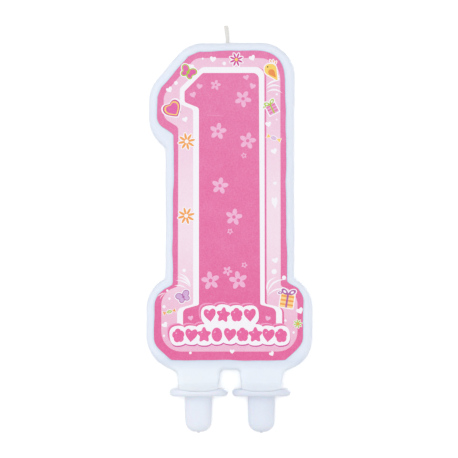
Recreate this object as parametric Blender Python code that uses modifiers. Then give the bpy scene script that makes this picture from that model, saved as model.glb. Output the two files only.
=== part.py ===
"""Number one birthday candle: a cast wax figure with a wick, a printed film on its face and two push-on pegs.

Run with: blender --background --python part.py
Units are metres, +Z is up and the printed face looks along -Y. The origin lies midway between the two
pegs, in the plane of their flanges' undersides, where the surface of a cake would be.
"""

import math

import bmesh
import bpy

MM = 0.001

# Figure: the numeral's outline, seen from the front. Heights are above its bottom edge.
STEM_WIDTH = 42.6 * MM
BASE_OVERHANG = 6.4 * MM  # how far each side of the base stands out beyond the stem
HEAD_OVERHANG = 5.6 * MM  # how far the flag of the 1 stands out beyond the stem
FIGURE_HEIGHT = 109.3 * MM
BASE_HEIGHT = 30.8 * MM  # height of the notch over the base
FLAG_SLOPE_HEIGHT = 15.2 * MM  # how far the flag's sloping edge falls from the top
FLAG_SLOPE_WIDTH = 12.9 * MM  # how far the flag's sloping edge runs sideways
FLAG_SIDE = 15.3 * MM  # the flag's upright edge, corner to corner
FOOT_RISE = 4.2 * MM  # how far the base's underside rises on its way out from the legs
SHOULDER_FALL = 3.5 * MM  # how far the base's upper edge drops on its way out
CHIN_RISE = 4.3 * MM  # how far the flag's lower edge rises on its way out
LOBE_ROUND = 0.87  # share of a sloping shoulder or chin that its outer corner's arc takes up
NOTCH_ROUND = 0.1  # share of the same slope that the notch's fillet takes up
FOOT_ROUND = 0.7  # share of the base's sloping underside that the foot's arc takes up
HEEL_ROUND = 0.2  # share of the same slope that the arc beside the leg takes up
BROW_RADIUS = 10.0 * MM
FLAG_TIP_RADIUS = 10.7 * MM
TOP_RADIUS = 11.0 * MM
FIGURE_THICKNESS = 11.0 * MM
EDGE_ROUND = 2.2 * MM

# Wax legs under the figure: a neck that stands on the holder's flange and a pin that fills its socket.
NECK_TOP_WIDTH = 14.6 * MM
NECK_TAPER = 1.6 * MM  # how much narrower and shallower the neck is at the bottom
NECK_SETBACK = 0.3 * MM  # how far the neck's front and back lie behind the figure's
NECK_CORNER = 1.4 * MM
NECK_HEIGHT = 6.0 * MM
NECK_ROOT = 2.6 * MM  # how far the neck runs up into the figure
PIN_WIDTH = 6.2 * MM
PIN_LENGTH = 10.4 * MM
PIN_TAPER = 0.4 * MM  # how much the pin's half width shrinks towards its tip
PIN_ROOT = 2.0 * MM
PIN_TIP_ROUND = 1.0 * MM

# Holders: an oval flange with a hollow peg under it, pushed over the wax pin.
FLANGE_WIDTH = 19.4 * MM
FLANGE_THICKNESS = 2.4 * MM
FLANGE_LIP = 0.9 * MM  # rounding of the flange's rim
LEG_FLATNESS = 0.72  # depth of the oval holder and pin as a share of their width
FLANGES_APART = 1.6 * MM
PEG_TIP = 4.05 * MM  # solid end under the socket's floor
PEG_WALL = 1.15 * MM
PEG_TAPER = 0.35 * MM  # how much the peg's half width shrinks from the flange to its round end
TURN_STEPS = 40
END_STEPS = 6  # steps round the peg's quarter-round end

# Wick: a stiff waxed cord cast into the figure, its free end leaning over.
WICK_DIAMETER = 1.3 * MM
WICK_EXPOSED = 5.9 * MM
WICK_LEAN = 0.55 * MM
WICK_X = -0.8 * MM
WICK_FLOOR = 5.0 * MM  # wax left under the wick, above the figure's bottom edge
WICK_POINTS = 7  # points along the leaning end

# Printed film, let into the front face.
LABEL_MARGIN = 2.4 * MM
LABEL_FOOT_MARGIN = 3.6 * MM
FILM_THICKNESS = 0.25 * MM
FILM_SINK = 0.05 * MM  # how far the film's face lies under the wax round it

# Clearances between pieces.
SEAT_GAP = 0.10 * MM  # wax neck to flange, film to the wax behind it
FILM_GAP = 0.20 * MM  # film edge to the recess's wall
SOCKET_GAP = 0.25 * MM  # wax pin to socket wall
WICK_GAP = 0.12 * MM  # wick to its channel

ARC_STEP = math.radians(9)

LEG_SPACING = FLANGE_WIDTH + FLANGES_APART
SEAT_Z = FLANGE_THICKNESS + SEAT_GAP
FIGURE_BOTTOM = SEAT_Z + NECK_HEIGHT
FIGURE_TOP = FIGURE_BOTTOM + FIGURE_HEIGHT
FRONT_Y = -FIGURE_THICKNESS / 2
SOCKET_FLOOR = SEAT_Z - PIN_LENGTH - SOCKET_GAP


def rounded(corners):
    """Points of a closed outline whose corners (x, z, radius) are joined by tangent arcs."""
    points = []
    for i, (x, z, radius) in enumerate(corners):
        before, after = corners[i - 1], corners[(i + 1) % len(corners)]
        to_before = math.atan2(before[1] - z, before[0] - x)
        to_after = math.atan2(after[1] - z, after[0] - x)
        turn = math.remainder(to_after - to_before, math.tau)
        half = abs(turn) / 2
        bisector = to_before + turn / 2
        centre_x = x + radius / math.sin(half) * math.cos(bisector)
        centre_z = z + radius / math.sin(half) * math.sin(bisector)
        sweep = math.copysign(math.pi - abs(turn), -turn)
        start = to_before + math.copysign(math.pi / 2, -turn)
        steps = max(2, math.ceil(abs(sweep) / ARC_STEP))
        for step in range(steps + 1):
            angle = start + sweep * step / steps
            points.append((centre_x + radius * math.cos(angle), centre_z + radius * math.sin(angle)))
    return points


def inset(corners, margin):
    """The corners of a clockwise outline with all its edges moved inwards by margin."""
    moved = []
    for i, (x, z, radius) in enumerate(corners):
        before, after = corners[i - 1], corners[(i + 1) % len(corners)]
        heading_in = math.atan2(z - before[1], x - before[0])
        heading_out = math.atan2(after[1] - z, after[0] - x)
        turn = math.remainder(heading_out - heading_in, math.tau)
        inwards = heading_in + turn / 2 - math.pi / 2
        reach = margin / math.cos(turn / 2)
        new_radius = radius - math.copysign(margin, -turn)
        moved.append((x + reach * math.cos(inwards), z + reach * math.sin(inwards), new_radius))
    return moved


def above(outline, floor):
    """The part of a closed outline above a level line, closed along that line."""
    kept = []
    for i, (x, z) in enumerate(outline):
        last_x, last_z = outline[i - 1]
        if (z > floor) != (last_z > floor):
            share = (floor - last_z) / (z - last_z)
            kept.append((last_x + share * (x - last_x), floor))
        if z > floor:
            kept.append((x, z))
    return kept


def slope_radius(run, rise, share):
    """Radius of the arc that turns from upright onto a slope and takes up the given share of it."""
    turn = math.pi / 2 - math.atan2(rise, run)
    return share * math.hypot(run, rise) / math.tan(turn / 2)


def figure_corners():
    """The numeral's corners (x, z, radius), clockwise from the left leg."""
    stem = STEM_WIDTH / 2
    base, head = stem + BASE_OVERHANG, stem + HEAD_OVERHANG
    heel = (LEG_SPACING + NECK_TOP_WIDTH) / 2
    bottom, top = FIGURE_BOTTOM, FIGURE_TOP
    shoulder, brow = bottom + BASE_HEIGHT, top - FLAG_SLOPE_HEIGHT
    jaw = brow - FLAG_SIDE
    shoulder_round = slope_radius(BASE_OVERHANG, SHOULDER_FALL, LOBE_ROUND)
    shoulder_notch = slope_radius(BASE_OVERHANG, SHOULDER_FALL, NOTCH_ROUND)
    foot_round = slope_radius(base - heel, FOOT_RISE, FOOT_ROUND)
    under_slope = math.atan2(FOOT_RISE, base - heel)
    heel_round = HEEL_ROUND * math.hypot(base - heel, FOOT_RISE) / math.tan(under_slope / 2)
    return [
        (-heel, bottom, heel_round),
        (-base, bottom + FOOT_RISE, foot_round),
        (-base, shoulder - SHOULDER_FALL, shoulder_round),
        (-stem, shoulder, shoulder_notch),
        (-stem, jaw - CHIN_RISE, slope_radius(HEAD_OVERHANG, CHIN_RISE, NOTCH_ROUND)),
        (-head, jaw, slope_radius(HEAD_OVERHANG, CHIN_RISE, LOBE_ROUND)),
        (-head, brow, BROW_RADIUS),
        (FLAG_SLOPE_WIDTH - head, top, FLAG_TIP_RADIUS),
        (stem, top, TOP_RADIUS),
        (stem, shoulder, shoulder_notch),
        (base, shoulder - SHOULDER_FALL, shoulder_round),
        (base, bottom + FOOT_RISE, foot_round),
        (heel, bottom, heel_round),
    ]


def label_outline(gap=0.0):
    """The film's outline, or that of its recess with the gap round it."""
    outline = rounded(inset(figure_corners(), LABEL_MARGIN - gap))
    return above(outline, FIGURE_BOTTOM + LABEL_FOOT_MARGIN - gap)


def material(name, colour, roughness):
    made = bpy.data.materials.new(name)
    made.use_nodes = True
    shader = made.node_tree.nodes["Principled BSDF"]
    shader.inputs["Base Color"].default_value = (*colour, 1.0)
    shader.inputs["Roughness"].default_value = roughness
    shader.inputs["Metallic"].default_value = 0.0
    return made


def link(obj, collection):
    for old in list(obj.users_collection):
        old.objects.unlink(obj)
    collection.objects.link(obj)
    return obj


def as_mesh(obj, collection):
    """The evaluated object as a welded mesh object of the same name, in place of the original."""
    bpy.context.view_layer.update()
    graph = bpy.context.evaluated_depsgraph_get()
    mesh = bpy.data.meshes.new_from_object(obj.evaluated_get(graph))
    place, name = obj.matrix_world.copy(), obj.name
    bpy.data.objects.remove(obj)
    shell = bmesh.new()
    shell.from_mesh(mesh)
    bmesh.ops.remove_doubles(shell, verts=shell.verts, dist=0.002 * MM)
    bmesh.ops.recalc_face_normals(shell, faces=shell.faces)
    shell.to_mesh(mesh)
    shell.free()
    made = bpy.data.objects.new(name, mesh)
    made.matrix_world = place
    collection.objects.link(made)
    return made


def plate(name, outline, thickness, centre_y, edge_round, collection):
    """A flat plate in the XZ plane from a closed outline, its edges rounded by edge_round."""
    curve = bpy.data.curves.new(name, "CURVE")
    curve.dimensions = "2D"
    curve.fill_mode = "BOTH"
    curve.extrude = thickness / 2 - edge_round
    curve.bevel_depth = edge_round
    curve.bevel_resolution = 2
    curve.offset = -edge_round
    spline = curve.splines.new("POLY")
    spline.points.add(len(outline) - 1)
    for point, (x, z) in zip(spline.points, outline):
        point.co = (x, z, 0.0, 1.0)
    spline.use_cyclic_u = True
    obj = bpy.data.objects.new(name, curve)
    obj.location = (0.0, centre_y, 0.0)
    obj.rotation_euler = (math.pi / 2, 0.0, 0.0)
    collection.objects.link(obj)
    return as_mesh(obj, collection)


def tapered_block(name, x, top_z, bottom_z, top_size, bottom_size, corner, collection):
    """A block that narrows downwards, sizes given as (width, depth), with its edges rounded."""
    cage = bmesh.new()
    bmesh.ops.create_cube(cage, size=1.0)
    for vert in cage.verts:
        width, depth = top_size if vert.co.z > 0 else bottom_size
        z = top_z if vert.co.z > 0 else bottom_z
        vert.co = (math.copysign(width / 2, vert.co.x), math.copysign(depth / 2, vert.co.y), z)
    mesh = bpy.data.meshes.new(name)
    cage.to_mesh(mesh)
    cage.free()
    obj = bpy.data.objects.new(name, mesh)
    obj.location = (x, 0.0, 0.0)
    collection.objects.link(obj)
    edges = obj.modifiers.new("rounded_edges", "BEVEL")
    edges.width = corner
    edges.segments = 3
    return obj


def turned_oval(name, section, x, collection):
    """A half section (r, z) turned about an upright axis at x and pressed flat front to back."""
    mesh = bpy.data.meshes.new(name)
    mesh.from_pydata([(r, 0.0, z) for r, z in section], [(i, i + 1) for i in range(len(section) - 1)], [])
    obj = bpy.data.objects.new(name, mesh)
    collection.objects.link(obj)
    turned = obj.modifiers.new("turned", "SCREW")
    turned.steps = TURN_STEPS
    turned.render_steps = TURN_STEPS
    turned.use_merge_vertices = True
    turned.merge_threshold = 0.005 * MM
    obj = as_mesh(obj, collection)
    for vert in obj.data.vertices:
        vert.co.y *= LEG_FLATNESS
    obj.location = (x, 0.0, 0.0)
    return obj


def boolean(target, other, operation):
    cut = target.modifiers.new(other.name, "BOOLEAN")
    cut.operation = operation
    cut.solver = "EXACT"
    cut.object = other
    other.hide_render = True
    other.display_type = "WIRE"


def wax_leg(side, helpers):
    """Neck and pin blocks of one leg; side is -1 on the left and 1 on the right."""
    x = side * LEG_SPACING / 2
    neck_depth = FIGURE_THICKNESS - 2 * NECK_SETBACK
    neck = tapered_block(
        "neck_block",
        x,
        FIGURE_BOTTOM + NECK_ROOT,
        SEAT_Z,
        (NECK_TOP_WIDTH, neck_depth),
        (NECK_TOP_WIDTH - NECK_TAPER, neck_depth - NECK_TAPER),
        NECK_CORNER,
        helpers,
    )
    tip = PIN_WIDTH / 2 - PIN_TAPER
    bottom = SEAT_Z - PIN_LENGTH
    section = [(0.0, SEAT_Z + PIN_ROOT), (PIN_WIDTH / 2, SEAT_Z + PIN_ROOT), (PIN_WIDTH / 2, 0.0)]
    for i in range(END_STEPS + 1):
        angle = -math.pi / 2 * i / END_STEPS
        r = tip - PIN_TIP_ROUND + PIN_TIP_ROUND * math.cos(angle)
        section.append((r, bottom + PIN_TIP_ROUND + PIN_TIP_ROUND * math.sin(angle)))
    section.append((0.0, bottom))
    return neck, turned_oval("pin_block", section, x, helpers)


def wax_body(collection, helpers):
    """The cast figure with its legs, less the film's recess and the wick's channel."""
    body = plate(
        "wax_body", rounded(figure_corners()), FIGURE_THICKNESS, 0.0, EDGE_ROUND, collection
    )
    for side in (-1, 1):
        for block in wax_leg(side, helpers):
            boolean(body, block, "UNION")
    recess_depth = FILM_SINK + FILM_THICKNESS + SEAT_GAP
    overshoot = EDGE_ROUND
    recess = plate(
        "film_recess",
        label_outline(FILM_GAP),
        recess_depth + overshoot,
        FRONT_Y + (recess_depth - overshoot) / 2,
        0.0,
        helpers,
    )
    boolean(body, recess, "DIFFERENCE")
    floor = FIGURE_BOTTOM + WICK_FLOOR - WICK_GAP
    past_top = FIGURE_TOP + EDGE_ROUND
    bpy.ops.mesh.primitive_cylinder_add(
        vertices=16,
        radius=WICK_DIAMETER / 2 + WICK_GAP,
        depth=past_top - floor,
        location=(WICK_X, 0.0, (past_top + floor) / 2),
    )
    channel = link(bpy.context.object, helpers)
    channel.name = "wick_channel"
    boolean(body, channel, "DIFFERENCE")
    body.data.materials.append(material("white_wax", (0.83, 0.88, 0.94), 0.45))
    return body


def printed_film(collection):
    """The printed film on the front face."""
    behind = FRONT_Y + FILM_SINK + FILM_THICKNESS / 2
    film = plate("printed_label", label_outline(), FILM_THICKNESS, behind, 0.0, collection)
    film.data.materials.append(material("printed_pink", (0.79, 0.21, 0.43), 0.4))
    return film


def wick(collection):
    """The wick: straight down the figure's middle, its free end leaning towards -X."""
    points = [(WICK_X, 0.0, FIGURE_BOTTOM + WICK_FLOOR)]
    for i in range(WICK_POINTS):
        share = i / (WICK_POINTS - 1)
        points.append((WICK_X - WICK_LEAN * share**2, 0.0, FIGURE_TOP + WICK_EXPOSED * share))
    curve = bpy.data.curves.new("wick", "CURVE")
    curve.dimensions = "3D"
    curve.bevel_depth = WICK_DIAMETER / 2
    curve.bevel_resolution = 2
    curve.use_fill_caps = True
    spline = curve.splines.new("POLY")
    spline.points.add(len(points) - 1)
    for point, place in zip(spline.points, points):
        point.co = (*place, 1.0)
    obj = bpy.data.objects.new("wick", curve)
    collection.objects.link(obj)
    curve.materials.append(material("cotton", (0.86, 0.85, 0.82), 0.8))
    return obj


def holder_profile():
    """Half section (r, z) of the holder, down its outer side and up the socket to the flange's top face."""
    socket = PIN_WIDTH / 2 + SOCKET_GAP
    outer = socket + PEG_WALL
    end = outer - PEG_TAPER
    lip, rim = FLANGE_LIP, FLANGE_WIDTH / 2
    points = []
    for i in range(END_STEPS + 1):
        angle = math.pi / 2 * (1 - i / END_STEPS)
        points.append((rim - lip + lip * math.cos(angle), FLANGE_THICKNESS - lip + lip * math.sin(angle)))
    for i in range(END_STEPS + 1):
        angle = -math.pi / 2 * i / END_STEPS
        points.append((rim - lip + lip * math.cos(angle), lip + lip * math.sin(angle)))
    points.append((outer, 0.0))
    for i in range(END_STEPS + 1):
        angle = -math.pi / 2 * i / END_STEPS
        points.append((end * math.cos(angle), SOCKET_FLOOR - PEG_TIP + end + end * math.sin(angle)))
    points.append((0.0, SOCKET_FLOOR))
    points.append((socket - PEG_TAPER, SOCKET_FLOOR))
    points.append((socket, 0.0))
    points.append((socket, FLANGE_THICKNESS))
    points.append(points[0])
    return points


def holder(name, side, collection):
    """One moulded holder: the flange and its hollow peg."""
    obj = turned_oval(name, holder_profile(), side * LEG_SPACING / 2, collection)
    obj.data.materials.append(material(name + "_plastic", (0.76, 0.81, 0.92), 0.35))
    return obj


def main():
    for obj in list(bpy.data.objects):
        bpy.data.objects.remove(obj)
    candle = bpy.data.collections.new("number_candle")
    helpers = bpy.data.collections.new("cutters")
    for collection in (candle, helpers):
        bpy.context.scene.collection.children.link(collection)
    wax_body(candle, helpers)
    printed_film(candle)
    wick(candle)
    holder("left_holder", -1, candle)
    holder("right_holder", 1, candle)


main()
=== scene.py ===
"""Looks for the number one birthday candle: soft white wax, a printed film on its face, a twisted wick and
two moulded push-on pegs, before a plain pale card under soft studio light."""

import math

import bpy
import numpy as np
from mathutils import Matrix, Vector
from mathutils.geometry import delaunay_2d_cdt


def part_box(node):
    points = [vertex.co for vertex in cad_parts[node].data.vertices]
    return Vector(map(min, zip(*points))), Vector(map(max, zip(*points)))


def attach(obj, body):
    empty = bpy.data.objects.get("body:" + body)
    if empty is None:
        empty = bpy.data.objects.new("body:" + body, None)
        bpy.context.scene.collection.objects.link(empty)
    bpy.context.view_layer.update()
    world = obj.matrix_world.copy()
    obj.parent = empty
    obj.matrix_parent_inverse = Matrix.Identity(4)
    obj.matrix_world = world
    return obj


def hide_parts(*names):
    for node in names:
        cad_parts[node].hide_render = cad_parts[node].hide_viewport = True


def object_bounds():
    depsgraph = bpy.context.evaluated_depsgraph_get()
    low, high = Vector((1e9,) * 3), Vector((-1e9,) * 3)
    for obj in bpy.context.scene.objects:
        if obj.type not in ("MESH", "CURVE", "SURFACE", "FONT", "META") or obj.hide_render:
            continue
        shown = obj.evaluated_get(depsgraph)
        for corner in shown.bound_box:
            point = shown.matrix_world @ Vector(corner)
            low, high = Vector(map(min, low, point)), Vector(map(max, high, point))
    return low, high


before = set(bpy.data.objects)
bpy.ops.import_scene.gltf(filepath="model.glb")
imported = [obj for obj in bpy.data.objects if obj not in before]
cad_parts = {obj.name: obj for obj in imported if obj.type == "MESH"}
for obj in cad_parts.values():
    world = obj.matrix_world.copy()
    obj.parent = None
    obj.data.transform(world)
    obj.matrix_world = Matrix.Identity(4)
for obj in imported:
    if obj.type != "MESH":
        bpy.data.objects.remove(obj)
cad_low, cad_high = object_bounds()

MM = 0.001

wax_low, wax_high = (np.array(corner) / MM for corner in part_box("wax_body"))
wick_low, wick_high = (np.array(corner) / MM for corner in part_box("wick"))
HALF_DEPTH = wax_high[1]
TOP = wax_high[2]


# ---- Shapes


def rounded(corners, steps=8):
    """Points and left-hand normals along a closed outline of corners (x, z, radius), each corner an arc.

    At each corner the heading h turns evenly from the edge before to the edge after. The arc's centre is
    one signed radius along the left-hand normal (-sin h, cos h) from where the arc starts, and each point
    is that centre less the signed radius times its own normal. Straight edges join the arcs. Where two arcs
    would take more of an edge than it has, both get a smaller radius.
    """
    corners = np.asarray(corners, float)
    place, radius = corners[:, :2], corners[:, 2]
    incoming = place - np.roll(place, 1, axis=0)
    heading = np.arctan2(incoming[:, 1], incoming[:, 0])
    turn = np.remainder(np.roll(heading, -1) - heading + np.pi, 2 * np.pi) - np.pi
    spread = np.tan(np.abs(turn) / 2)
    reach = radius * spread
    length = np.linalg.norm(incoming, axis=1)
    before = (reach + np.roll(reach, 1)) / length
    after = (reach + np.roll(reach, -1)) / np.roll(length, -1)
    radius = radius / np.maximum(1.0, np.maximum(before, after))
    signed = np.sign(turn) * radius
    along = np.stack([np.cos(heading), np.sin(heading)], axis=1)
    left = np.stack([-np.sin(heading), np.cos(heading)], axis=1)
    centre = place - (radius * spread)[:, None] * along + signed[:, None] * left
    angle = heading[:, None] + turn[:, None] * np.linspace(0, 1, steps)[None, :]
    normal = np.stack([-np.sin(angle), np.cos(angle)], axis=2)
    point = centre[:, None] - signed[:, None, None] * normal
    return point.reshape(-1, 2), normal.reshape(-1, 2)


def evenly(points, normals, spacing):
    """The same closed outline with its points spread evenly, and the normals eased between the corners."""
    point, normal = np.vstack([points, points[:1]]), np.vstack([normals, normals[:1]])
    travelled = np.concatenate([[0], np.cumsum(np.linalg.norm(np.diff(point, axis=0), axis=1))])
    at = np.linspace(0, travelled[-1], int(travelled[-1] / spacing), endpoint=False)
    even = np.stack([np.interp(at, travelled, point[:, k]) for k in (0, 1)], axis=1)
    facing = np.stack([np.interp(at, travelled, normal[:, k]) for k in (0, 1)], axis=1)
    return even, facing / np.linalg.norm(facing, axis=1, keepdims=True)


def inside(points, outline):
    """True for each point with an odd number of outline edges crossed by a level ray from it to +x."""
    ahead = np.roll(outline, -1, axis=0)
    x, z = points[:, :1], points[:, 1:]
    spans = (outline[None, :, 1] > z) != (ahead[None, :, 1] > z)
    rise = np.where(ahead[:, 1] == outline[:, 1], 1e-9, ahead[:, 1] - outline[:, 1])
    crossing = outline[None, :, 0] + (z - outline[None, :, 1]) / rise * (ahead - outline)[None, :, 0]
    return (spans & (x < crossing)).sum(axis=1) % 2 == 1


def grid_faces(rings, steps):
    """Quads over closed rings of vertices, numbered ring by ring."""
    ring, step = np.meshgrid(np.arange(rings - 1), np.arange(steps), indexing="ij")
    here, beside = ring * steps + step, ring * steps + (step + 1) % steps
    return np.stack([here, beside, beside + steps, here + steps], -1).reshape(-1, 4)


def capped(rings, ends):
    """Vertices and faces of a tube of rings (ring, point, xyz), with a fan to a point at each end."""
    count, steps = rings.shape[:2]
    around = np.arange(steps)
    after = (around + 1) % steps
    last_ring = (count - 1) * steps
    low_fan = np.stack([np.full(steps, count * steps), after, around], -1)
    high_fan = np.stack([np.full(steps, count * steps + 1), last_ring + around, last_ring + after], -1)
    return np.vstack([rings.reshape(-1, 3), ends]), [*grid_faces(count, steps), *low_fan, *high_fan]


def make_piece(name, points_mm, faces, material, smooth=True):
    """A mesh object at the origin from points in millimetres and lists of faces."""
    mesh = bpy.data.meshes.new(name)
    mesh.from_pydata((np.asarray(points_mm) * MM).tolist(), [], [np.asarray(f).tolist() for f in faces])
    mesh.validate()
    mesh.polygons.foreach_set("use_smooth", np.full(len(mesh.polygons), smooth))
    mesh.materials.append(material)
    obj = bpy.data.objects.new(name, mesh)
    bpy.context.scene.collection.objects.link(obj)
    return obj


def turned(profile, half_depth_share, squareness, steps, centre_x):
    """Closed shell turned from a profile (radius, height) whose first and last points lie on the axis.

    In plan each ring is a superellipse: x is radius times cos to the power 2/n, y is radius times the
    depth share times sin to the power 2/n. The share and n may differ from one profile point to the next.
    """
    profile = np.asarray(profile, float)
    ring, n = profile[1:-1], np.broadcast_to(squareness, len(profile))[1:-1, None]
    share = np.broadcast_to(half_depth_share, len(profile))[1:-1, None]
    angle = np.linspace(0, 2 * np.pi, steps, endpoint=False)[None, :]
    c, s = np.cos(angle), np.sin(angle)
    x = centre_x + ring[:, :1] * np.sign(c) * np.abs(c) ** (2 / n)
    y = ring[:, :1] * share * np.sign(s) * np.abs(s) ** (2 / n)
    z = np.broadcast_to(ring[:, 1:], x.shape)
    return capped(np.stack([x, y, z], axis=-1), [[centre_x, 0, height] for height in profile[[0, -1], 1]])


# ---- Finishes


def linear(red, green, blue):
    """A display colour given as 0 to 255, as scene-linear red, green, blue and alpha."""
    value = np.array([red, green, blue]) / 255
    value = np.where(value <= 0.04045, value / 12.92, ((value + 0.055) / 1.055) ** 2.4)
    return (*value.tolist(), 1.0)


WHITE = (1.0, 1.0, 1.0, 1.0)


def new_group(name, **inputs):
    """A node group and its inputs' sockets, made from the inputs' defaults; a tuple is a colour."""
    group = bpy.data.node_groups.new(name, "ShaderNodeTree")
    for label, value in inputs.items():
        kind = "Color" if isinstance(value, tuple) else "Float"
        label = label.replace("_", " ")
        socket = group.interface.new_socket(label, in_out="INPUT", socket_type="NodeSocket" + kind)
        socket.default_value = value
    for label, kind in (("Colour", "Color"), ("Roughness", "Float"), ("Height", "Float")):
        group.interface.new_socket(label, in_out="OUTPUT", socket_type="NodeSocket" + kind)
    return group, group.nodes.new("NodeGroupInput").outputs


def put_out(group, **results):
    """Links the group's results to the outputs of the same names."""
    leave = group.nodes.new("NodeGroupOutput")
    for label, socket in results.items():
        group.links.new(socket, leave.inputs[label])
    return group


def node(tree, kind, links=None, **settings):
    """A node with its settings and its inputs set or linked by name or number."""
    made = tree.nodes.new(kind)
    for key, value in settings.items():
        setattr(made, key, value)
    for key, value in (links or {}).items():
        if isinstance(value, bpy.types.NodeSocket):
            tree.links.new(value, made.inputs[key])
        else:
            made.inputs[key].default_value = value
    return made


def maths(tree, operation, *values):
    """The output of a Math node with its inputs in order."""
    return node(tree, "ShaderNodeMath", dict(enumerate(values)), operation=operation).outputs[0]


def remap(tree, value, low, high, way="LINEAR"):
    """0 where the value is low, 1 where it is high, and a ramp between."""
    links = {"Value": value, "From Min": low, "From Max": high}
    return node(tree, "ShaderNodeMapRange", links, interpolation_type=way).outputs[0]


def noise(tree, place, scale, detail, roughness=0.5):
    """Noise from 0 to 1; the scale is in waves per metre."""
    links = {"Vector": place, "Scale": scale, "Detail": detail, "Roughness": roughness}
    return node(tree, "ShaderNodeTexNoise", links).outputs["Fac"]


def mix_colour(tree, factor, first, second):
    """The colour output of a Mix node between two colours, each a socket or a value."""
    return node(tree, "ShaderNodeMix", {0: factor, 6: first, 7: second}, data_type="RGBA").outputs[2]


def object_place(tree):
    """Where a point is on its object, in metres."""
    return node(tree, "ShaderNodeTexCoord").outputs["Object"]


def object_height(tree):
    """How high a point is on its object, in metres."""
    return node(tree, "ShaderNodeSeparateXYZ", {0: object_place(tree)}).outputs["Z"]


def cast_surface_group():
    """Cloudy tone, uneven gloss and soft orange-peel relief, as on cast wax or moulded plastic."""
    group, given = new_group(
        "cast_surface",
        Colour=WHITE,
        Cloud_Colour=WHITE,
        Cloud_Size=60.0,
        Cloud_Amount=0.5,
        Gloss=0.4,
        Gloss_Spread=0.1,
        Grain_Size=1500.0,
        Pit_Amount=0.2,
    )
    place = object_place(group)
    cloud = noise(group, place, given["Cloud Size"], 4.0, 0.55)
    amount = maths(group, "MULTIPLY", remap(group, cloud, 0.35, 0.68), given["Cloud Amount"])
    pits = node(group, "ShaderNodeTexVoronoi", {"Vector": place, "Scale": 420.0, "Randomness": 1.0})
    pit = remap(group, pits.outputs["Distance"], 0.0, 0.12)
    grain = noise(group, place, given["Grain Size"], 2.0)
    return put_out(
        group,
        Colour=mix_colour(group, amount, given["Colour"], given["Cloud Colour"]),
        Roughness=maths(group, "MULTIPLY_ADD", cloud, given["Gloss Spread"], given["Gloss"]),
        Height=maths(group, "ADD", grain, maths(group, "MULTIPLY", pit, given["Pit Amount"])),
    )


LOWER_FADE = (0.018, 0.055)  # heights in metres between which the lower ink turns into the middle one
UPPER_FADE = (0.062, 0.108)  # and the middle one into the upper
PATCH_SHARE = 0.25  # how much broad patches count in the ink's density, beside fine specks at 1


def print_group():
    """Ink on film: its tone fades over the candle's height, with fine density grain and a faint ripple."""
    group, given = new_group(
        "film_print",
        Upper_Ink=WHITE,
        Middle_Ink=WHITE,
        Lower_Ink=WHITE,
        Grain=0.06,
        Density_Spread=0.8,
        Gloss=0.36,
    )
    place, height = object_place(group), object_height(group)
    lower = remap(group, height, *LOWER_FADE, "SMOOTHSTEP")
    upper = remap(group, height, *UPPER_FADE, "SMOOTHSTEP")
    faded = mix_colour(group, lower, given["Lower Ink"], given["Middle Ink"])
    faded = mix_colour(group, upper, faded, given["Upper Ink"])
    speck, patch = noise(group, place, 2200.0, 3.0, 0.7), noise(group, place, 240.0, 3.0, 0.6)
    both = maths(group, "MULTIPLY_ADD", patch, PATCH_SHARE, speck)
    centred = maths(group, "SUBTRACT", both, (1 + PATCH_SHARE) / 2)
    grain = maths(group, "MULTIPLY_ADD", centred, given["Grain"], 1.0)
    density = maths(group, "MULTIPLY_ADD", centred, given["Density Spread"], 1.0)
    inked = node(group, "ShaderNodeGamma", {"Color": faded, "Gamma": density}).outputs[0]
    ripple = noise(group, place, 55.0, 2.0)
    return put_out(
        group,
        Colour=node(group, "ShaderNodeVectorMath", {0: inked, "Scale": grain}, operation="SCALE").outputs[0],
        Roughness=maths(group, "MULTIPLY_ADD", patch, 0.12, given["Gloss"]),
        Height=maths(group, "MULTIPLY_ADD", speck, 0.02, ripple),
    )


def new_material(name):
    """A material with its node tree and its Principled shader."""
    made = bpy.data.materials.new(name)
    made.use_nodes = True
    return made, made.node_tree, made.node_tree.nodes["Principled BSDF"]


def finish_material(name, group, values, bump_strength, bump_distance, **shader_values):
    """A Principled material fed by a group's colour, roughness and height."""
    made, tree, shader = new_material(name)
    effect = node(tree, "ShaderNodeGroup", node_tree=group)
    for label, value in values.items():
        effect.inputs[label].default_value = value
    bump = {"Height": effect.outputs["Height"], "Strength": bump_strength, "Distance": bump_distance}
    tree.links.new(effect.outputs["Colour"], shader.inputs["Base Color"])
    tree.links.new(effect.outputs["Roughness"], shader.inputs["Roughness"])
    tree.links.new(node(tree, "ShaderNodeBump", bump).outputs[0], shader.inputs["Normal"])
    for label, value in shader_values.items():
        shader.inputs[label.replace("_", " ")].default_value = value
    return made


cast_surface = cast_surface_group()
film_print = print_group()

wax_finish = finish_material(
    "white_wax",
    cast_surface,
    {
        "Colour": linear(236, 242, 249),
        "Cloud Colour": linear(227, 233, 246),
        "Cloud Size": 45.0,
        "Cloud Amount": 0.6,
        "Gloss": 0.34,
        "Gloss Spread": 0.22,
        "Grain Size": 900.0,
        "Pit Amount": 0.25,
    },
    bump_strength=0.12,
    bump_distance=0.0003,
    Subsurface_Weight=0.35,
    Subsurface_Scale=0.002,
    IOR=1.44,
)
wax_finish.node_tree.nodes["Principled BSDF"].inputs["Subsurface Radius"].default_value = (1.0, 0.9, 0.8)


def feed_colour(material, socket):
    """Feeds the colour of the group in a material from another socket."""
    effect = next(n for n in material.node_tree.nodes if n.type == "GROUP")
    material.node_tree.links.new(socket, effect.inputs["Colour"])


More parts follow.
